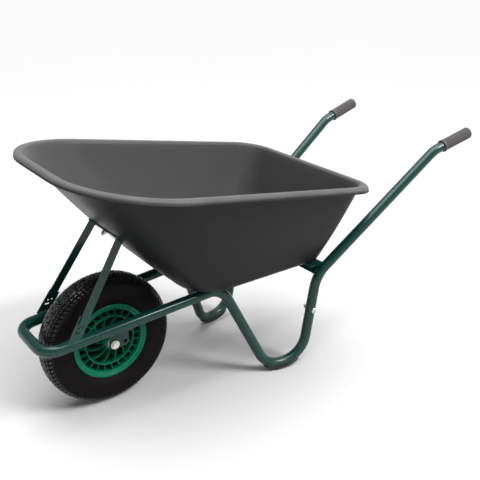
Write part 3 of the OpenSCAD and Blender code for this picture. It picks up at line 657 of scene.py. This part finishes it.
def skid():
    """A moulded shoe round the underside of the foot: the angle to each side of straight down is
    the one at which its edge is level, and its underside is cut flat at the ground. Its wall
    swells a little into ribs across it."""
    points, ways, _, _ = bent_line([SOCKET, FOOT_REAR, FOOT_FRONT, LEG_TOP], [0, 85, 76, 0], step=1.5)
    x0, x1 = FOOT_FRONT[0] + 6, FOOT_REAR[0] - 18
    s = np.linspace(0, 1, 90)[:, None]
    keep = (points[:, 0] > x0 - 4) & (points[:, 0] < x1 + 4)
    points, ways = points[keep][::-1], -ways[keep][::-1]
    x = (x0 + (x1 - x0) * s)[:, 0]
    points = np.stack([np.interp(x, points[:, 0], points[:, k]) for k in range(3)], 1)
    ways = unit(np.stack([np.gradient(points[:, k], x) for k in range(3)], 1))
    down = unit(np.array([0, 0, -1.0]) + ways * ways[:, 2:])
    side = np.cross(ways, down)
    reach = np.arccos(np.clip((points[:, 2] - FOOT_Z + 2) / (TUBE_R + 2), -1, 1))
    t = np.linspace(-1, 1, 21)[None] * reach[:, None]
    spoke = np.cos(t)[..., None] * down[:, None] + np.sin(t)[..., None] * side[:, None]
    ribs = 0.35 * np.sin(2 * pi * (x - x0) / 9)[:, None] * np.abs(np.sin(t))
    wall = 4.8 + ribs - 1.2 * (s < 0.02) - 1.2 * (s > 0.98)
    wall = wall - 2.2 * smooth_step(np.abs(np.linspace(-1, 1, 21)), 0.86, 1.0)[None]
    outer = points[:, None] + spoke * (TUBE_R + 0.2 + wall)[..., None]
    outer[..., 2] = np.maximum(outer[..., 2], 0)
    return thick_sheet(outer, points[:, None] + spoke * (TUBE_R + 0.15))


shoe = skid()
piece("right_skid_shoe", shoe, "frame", SKID, ["right_foot_skid"], sharp=50)
piece("left_skid_shoe", other_side(shoe), "frame", SKID, ["left_foot_skid"], sharp=50)


# ---- wheel ----

def wheel_point(r, t, w):
    """r cos t along x, w along y, and r sin t up from the axle."""
    r, t, w = np.broadcast_arrays(r, t, w)
    return np.stack([r * np.cos(t), w, TYRE_R + r * np.sin(t)], -1)


def squared_oval(t, inset):
    """The casing's section: middle radius plus a power 0.8 of the cosine, and a power 0.8 of the
    sine across."""
    middle = BEAD_R + 6.5 + (TYRE_R - BEAD_R - 6.5) / 2
    c, s = np.cos(t), np.sin(t)
    return np.stack([
        middle + (TYRE_R - middle - inset) * np.sign(c) * np.abs(c) ** 0.8,
        (TYRE_HALF - inset) * np.sign(s) * np.abs(s) ** 0.8
    ], 1)


ZIGS, STEPS_PER_ZIG = 84, 11
TREAD_DEPTH = 4.6


def groove(distance, half):
    """1 in a groove, 0 on the block beside it, with a short drafted wall."""
    return 1 - smooth_step(np.abs(distance), half - 0.6, half + 0.9)


def tread(turn, v):
    """How deep the tread is cut, from 0 to 1. Zigzags run round the middle and three times on
    each side, short slanting bars cut the rows between them into blocks, and bars at every turn
    of the zigzag cut the shoulders into lugs."""
    pitch = 2 * pi * (TYRE_R - 4) / ZIGS
    u, a = turn * ZIGS, np.abs(v)
    side = np.where(v > 0, 0.5, 0.0)

    def zigzag(start):
        return 2.3 * (4 * np.abs((u + start) % 1 - 0.5) - 1)

    first, second, edge = 11.5 + zigzag(side), 23.5 + zigzag(side + 0.5), 36 + zigzag(side)
    lines = np.maximum.reduce([
        groove(v - zigzag(0), 1.0), groove(a - first, 1.0), groove(a - second, 1.1), groove(a - edge, 1.4)
    ])
    inner = groove((((u + side) / 2 + a / 60) % 1 - 0.5) * 2 * pitch, 1.2) * (a < first)
    middle = groove((((u + side) / 2 + 0.5 - a / 60) % 1 - 0.5) * 2 * pitch, 1.2) * (a > first) * (a < second)
    outer = groove(((u + side + a / 70) % 1 - 0.5) * pitch, 1.3) * (a > second) * (a < edge)
    lugs = groove(((u + 0.2 + a / 90) % 1 - 0.5) * pitch, 1.4) * (a > edge)
    return np.maximum.reduce([lines, inner, middle, outer, lugs]) * (1 - smooth_step(a, 43, 50))


def casing():
    """The tyre's section goes up one wall, over the tread and down the other, and back along the
    inside. Outside, each point moves along its normal by the tread's depth and by narrow mould
    rings on the walls."""
    wall = radians(76) * np.linspace(0, 1, 11)
    t = np.concatenate([radians(-138) + wall, np.radians(np.linspace(-58, 58, 66)), radians(62) + wall])
    oval = squared_oval(t, 0)
    foot = np.array([[BEAD_R + 0.5, -BEAD_HALF + 0.3], [BEAD_R + 11, -BEAD_HALF + 0.3]])
    section = np.concatenate([foot, oval, (foot * [1, -1])[::-1]])
    inner = squared_oval(np.radians(np.linspace(128, -128, 10)), 6)
    inner = np.concatenate([[[BEAD_R + 0.5, 22]], inner, [[BEAD_R + 0.5, -22]]])
    lengths = np.cumsum(np.r_[0, np.linalg.norm(np.diff(section, axis=0), axis=1)])
    v = (lengths - lengths[-1] / 2)[None]
    slope = np.gradient(section, axis=0)
    normal = unit(np.stack([slope[:, 1], -slope[:, 0]], 1))
    turn = np.linspace(0, 1, ZIGS * STEPS_PER_ZIG, endpoint=False)[:, None]
    cut = tread(turn, v)
    a = np.abs(v)
    rings = 0.9 * np.exp(-((a - 92) / 2.2) ** 2) + 0.5 * np.exp(-((a - 66) / 1.2) ** 2)
    rings = rings - 0.4 * np.exp(-((a - 80) / 1.0) ** 2)
    lift = rings - TREAD_DEPTH * cut
    outside = section[None] + normal[None] * lift[..., None]
    both = np.concatenate([outside, np.broadcast_to(inner, (len(turn),) + inner.shape)], 1)
    grid = wheel_point(both[..., 0], 2 * pi * turn, both[..., 1])
    hidden = np.zeros((len(turn), len(inner)))
    crown = (1 - smooth_step(a, 38, 52)) * (1 - cut)
    return grid, np.concatenate([cut, hidden], 1), np.concatenate([crown, hidden], 1)


grid, cut_mark, crown_mark = casing()
tyre_marks = {"groove": cut_mark, "crown": crown_mark}
tyre = [strip(grid, True, True)]
piece("tyre_casing", tyre, "wheel", TYRE, ["tyre"], sharp=42, marks=tyre_marks)


def wheel_ring(profile, sides=144):
    """A ring turned about the axle: the closed profile of radius and width goes once round."""
    t = np.linspace(0, 2 * pi, sides, endpoint=False)[:, None]
    return strip(wheel_point(profile[None, :, 0], t, profile[None, :, 1]), True, True)


def rounded_box(r0, r1, w0, w1, fillet, steps=5):
    """A rectangle of radius and width with each corner an arc."""
    a = np.linspace(0, pi / 2, steps)
    low_r, high_r, low_w, high_w = r0 + fillet, r1 - fillet, w0 + fillet, w1 - fillet
    arcs = []
    for k, (r, w) in enumerate([(high_r, high_w), (low_r, high_w), (low_r, low_w), (high_r, low_w)]):
        arcs.append(np.stack([r + fillet * np.cos(a + k * pi / 2), w + fillet * np.sin(a + k * pi / 2)], 1))
    return np.concatenate(arcs)


def vane(line, normal, half_t, low, high, copies):
    """A thin wall that stands along the axle. Its middle line and normals lie in the wheel's
    plane, its section is a rounded rectangle that is drafted thinner towards the outside, and the
    copies are the same points turned round the axle."""
    a = np.linspace(0, 2 * pi, 20, endpoint=False)
    across = np.sign(np.cos(a)) * np.abs(np.cos(a)) ** 0.3
    along = np.sign(np.sin(a)) * np.abs(np.sin(a)) ** 0.12
    w = (low + high) / 2 + (high - low) / 2 * along
    half = half_t * (1.12 - 0.25 * np.abs(along))
    xy = line[:, None] + normal[:, None] * (across * half)[None, :, None]
    spin = (2 * pi * np.arange(copies) / copies)[:, None, None]
    x = xy[None, ..., 0] * np.cos(spin) - xy[None, ..., 1] * np.sin(spin)
    y = xy[None, ..., 0] * np.sin(spin) + xy[None, ..., 1] * np.cos(spin)
    grid = np.stack([x, np.broadcast_to(w, x.shape), TYRE_R - y], -1)
    middle = grid.mean(2, keepdims=True)
    foot, end = (np.broadcast_to(middle[:, k], grid[:, :1].shape) for k in (slice(0, 1), slice(-1, None)))
    grid = np.concatenate([foot, grid, end], 1)
    return [strip(one, False, True) for one in grid]


def rim_strips():
    """Barrel with two stepped flanges, centre web, inner ring, hub boss, short ribs, and curved
    vanes whose middle lines are arcs from the hub to the inner ring."""
    side = np.array([
        [98.6, 30], [99.1, 34.5], [99.8, 36.6], [101, 37.4], [106.2, 37.4], [107.2, 38.2],
        [107.9, 40.2], [108.9, 41.1], [112.6, 41.2], [115.4, 40.4], [116.9, 38.6], [117, 37.3],
        [116.2, 36.5], [114, 36.1], [102.6, 35.9], [BEAD_R, 34.5]
    ])
    barrel = np.concatenate([side, (side * [1, -1])[::-1]])
    parts = [wheel_ring(barrel)]
    parts.append(wheel_ring(rounded_box(20, 99, -2, 2, 0.8, 3), 96))
    parts.append(wheel_ring(rounded_box(74.9, 78.3, -34, 34, 1.0, 4)))
    hub = np.array([
        [12.6, 45.2], [13.4, 46], [19.2, 46], [20.8, 45.3], [21.8, 43.6], [22.3, 38], [23.4, 10],
        [25.5, 4.5], [29, 2.2]
    ])
    parts.append(wheel_ring(np.concatenate([hub, (hub * [1, -1])[::-1]]), 72))
    spoke = np.stack([np.linspace(76.4, 98, 5), np.zeros(5)], 1)
    parts += vane(spoke, np.tile([0.0, 1.0], (5, 1)), 1.45, -33, 33, 24)
    bend, bend_turn, hub_r, ring_r = 55.0, 1.12, 18, 77.2
    a = np.linspace(0, 1, 16) * bend_turn
    line = np.stack([hub_r + bend * np.sin(a), bend - bend * np.cos(a)], 1)
    line = line[np.hypot(line[:, 0], line[:, 1]) < ring_r]
    a = a[: len(line)]
    parts += vane(line, np.stack([-np.sin(a), np.cos(a)], 1), 1.5, -33, 33, 12)
    return parts


piece("moulded_rim", rim_strips(), "wheel", RIM, ["rim"], sharp=38)


# ---- welds ----

def weld_runs():
    """Beads where plates meet the right tube: along both sides of the axle bracket's flange and
    of the brace plate's foot, across that foot's front end, and across the front member's end. A
    line holds its two ends, each as x and what is added to the rail's middle there, and its
    radius."""
    lines = [((-14, y, -14.6), (46, y, -14.6), 2.3) for y in (-7.6, 7.6)]
    lines += [((-156, y, 15.2), (-119, y, 15.2), 2.6) for y in (-3.4, 2.6)]
    lines += [((-157.5, -3, 15), (-157.5, 3, 15), 2.6)]
    lines += [((x, -15.6, 6), (x, -8.5, 13), 2.0) for x in (273.5, 312.5)]
    runs = []
    for start, end, radius in lines:
        runs += bead(*(rail_point(x) + [0, y, z] for x, y, z in (start, end)), radius)
    return runs


welds = weld_runs()
piece("weld_beads", welds + other_side(welds), "frame", GREEN, sharp=80)


# ---- the pieces that keep their shape ----

refinish(
    GREEN, "front_cross_member", "rear_cross_member", "left_axle_bracket", "right_axle_bracket",
    "left_brace_bracket", "right_brace_bracket", "left_brace_bar", "right_brace_bar", "brace_cross_strap"
)
refinish(
    ZINC, "handle_bolts", "handle_nuts", "tray_floor_bolts", "tray_floor_washers", "tray_floor_nuts",
    "tray_front_bolt", "tray_front_washers", "tray_front_nut", "axle_spacers"
)
refinish(AXLE_ZINC, "axle_bolt", "axle_washers", "axle_nut")
refinish(STEEL, "hub_sleeve")
refinish(NYLON, "hub_bushes")
refinish(TUBE_RUBBER, "inner_tube")
refinish(BRASS, "valve_stem")
refinish(CAP, "valve_cap")


# ---- floor, light and camera ----

def studio_floor():
    """A level sheet of four by four faces, forty metres across."""
    x, y = np.meshgrid(np.linspace(-20, 20, 5), np.linspace(-20, 20, 5), indexing="ij")
    points, faces = strip(np.stack([x, y, 0 * x], -1))
    mesh = bpy.data.meshes.new("studio_floor")
    mesh.from_pydata(points.tolist(), [], faces.tolist())
    paint = Finish("studio_floor", {"Roughness": 0.9, "Specular IOR Level": 0.1})
    paint.wear(colour=paint.mix(paint.noise(0.7), rgb(0.505, 0.505, 0.505), rgb(0.52, 0.52, 0.52)))
    mesh.materials.append(paint.material)
    sheet = bpy.data.objects.new("studio_floor", mesh)
    bpy.context.scene.collection.objects.link(sheet)


def soft_light(name, turn, angle, strength):
    """A wide even light from one direction, as from a large white panel. Its angle sets how soft
    the shadows are."""
    light = bpy.data.lights.new(name, "SUN")
    light.angle, light.energy = radians(angle), strength
    lamp = bpy.data.objects.new(name, light)
    lamp.rotation_euler = [radians(a) for a in turn]
    bpy.context.scene.collection.objects.link(lamp)


def strip_light(name, place, turn, power):
    """A long narrow lamp above the barrow, for the bright lines along its tubes and rim."""
    light = bpy.data.lights.new(name, "AREA")
    light.shape, light.size, light.size_y, light.energy = "RECTANGLE", 4.0, 0.22, power
    lamp = bpy.data.objects.new(name, light)
    lamp.location, lamp.rotation_euler = place, [radians(a) for a in turn]
    bpy.context.scene.collection.objects.link(lamp)


def studio():
    """White all round near the horizon and grey above, with two soft lights and two strips."""
    world = bpy.data.worlds.new("studio")
    world.use_nodes = True
    nodes, links = world.node_tree.nodes, world.node_tree.links
    place, parts, ramp = (nodes.new("ShaderNode" + kind) for kind in ("TexCoord", "SeparateXYZ", "ValToRGB"))
    ramp.color_ramp.elements[0].position, ramp.color_ramp.elements[0].color = 0.10, rgb(1, 1, 1)
    ramp.color_ramp.elements[1].position, ramp.color_ramp.elements[1].color = 0.26, rgb(0.3, 0.3, 0.3)
    links.new(place.outputs["Generated"], parts.inputs[0])
    links.new(parts.outputs["Z"], ramp.inputs[0])
    links.new(ramp.outputs[0], nodes["Background"].inputs["Color"])
    nodes["Background"].inputs["Strength"].default_value = 1.0
    bpy.context.scene.world = world
    soft_light("overhead", (0, 0, 0), 46, 2.8)
    soft_light("near_side", (44, 0, 36), 22, 2.9)
    strip_light("ceiling_strip_near", (0.0, -1.1, 3.0), (20, 0, 0), 36)
    strip_light("ceiling_strip_far", (0.0, 1.3, 3.0), (-24, 0, 0), 36)
    bpy.context.scene.view_settings.view_transform = "Standard"


def add_camera():
    """It stands ahead of the wheel on the operator's left, higher than the rim, and looks down at
    the barrow."""
    camera = bpy.data.objects.new("camera", bpy.data.cameras.new("camera"))
    camera.data.lens, camera.data.sensor_width = 55.86, 36
    camera.data.shift_x, camera.data.shift_y = 0.0207, -0.0043
    camera.location = (-1.3139, -1.7597, 1.3187)
    camera.rotation_euler = (radians(67.04), 0, radians(-35.78))
    bpy.context.scene.collection.objects.link(camera)
    bpy.context.scene.camera = camera


studio_floor()
studio()
add_camera()
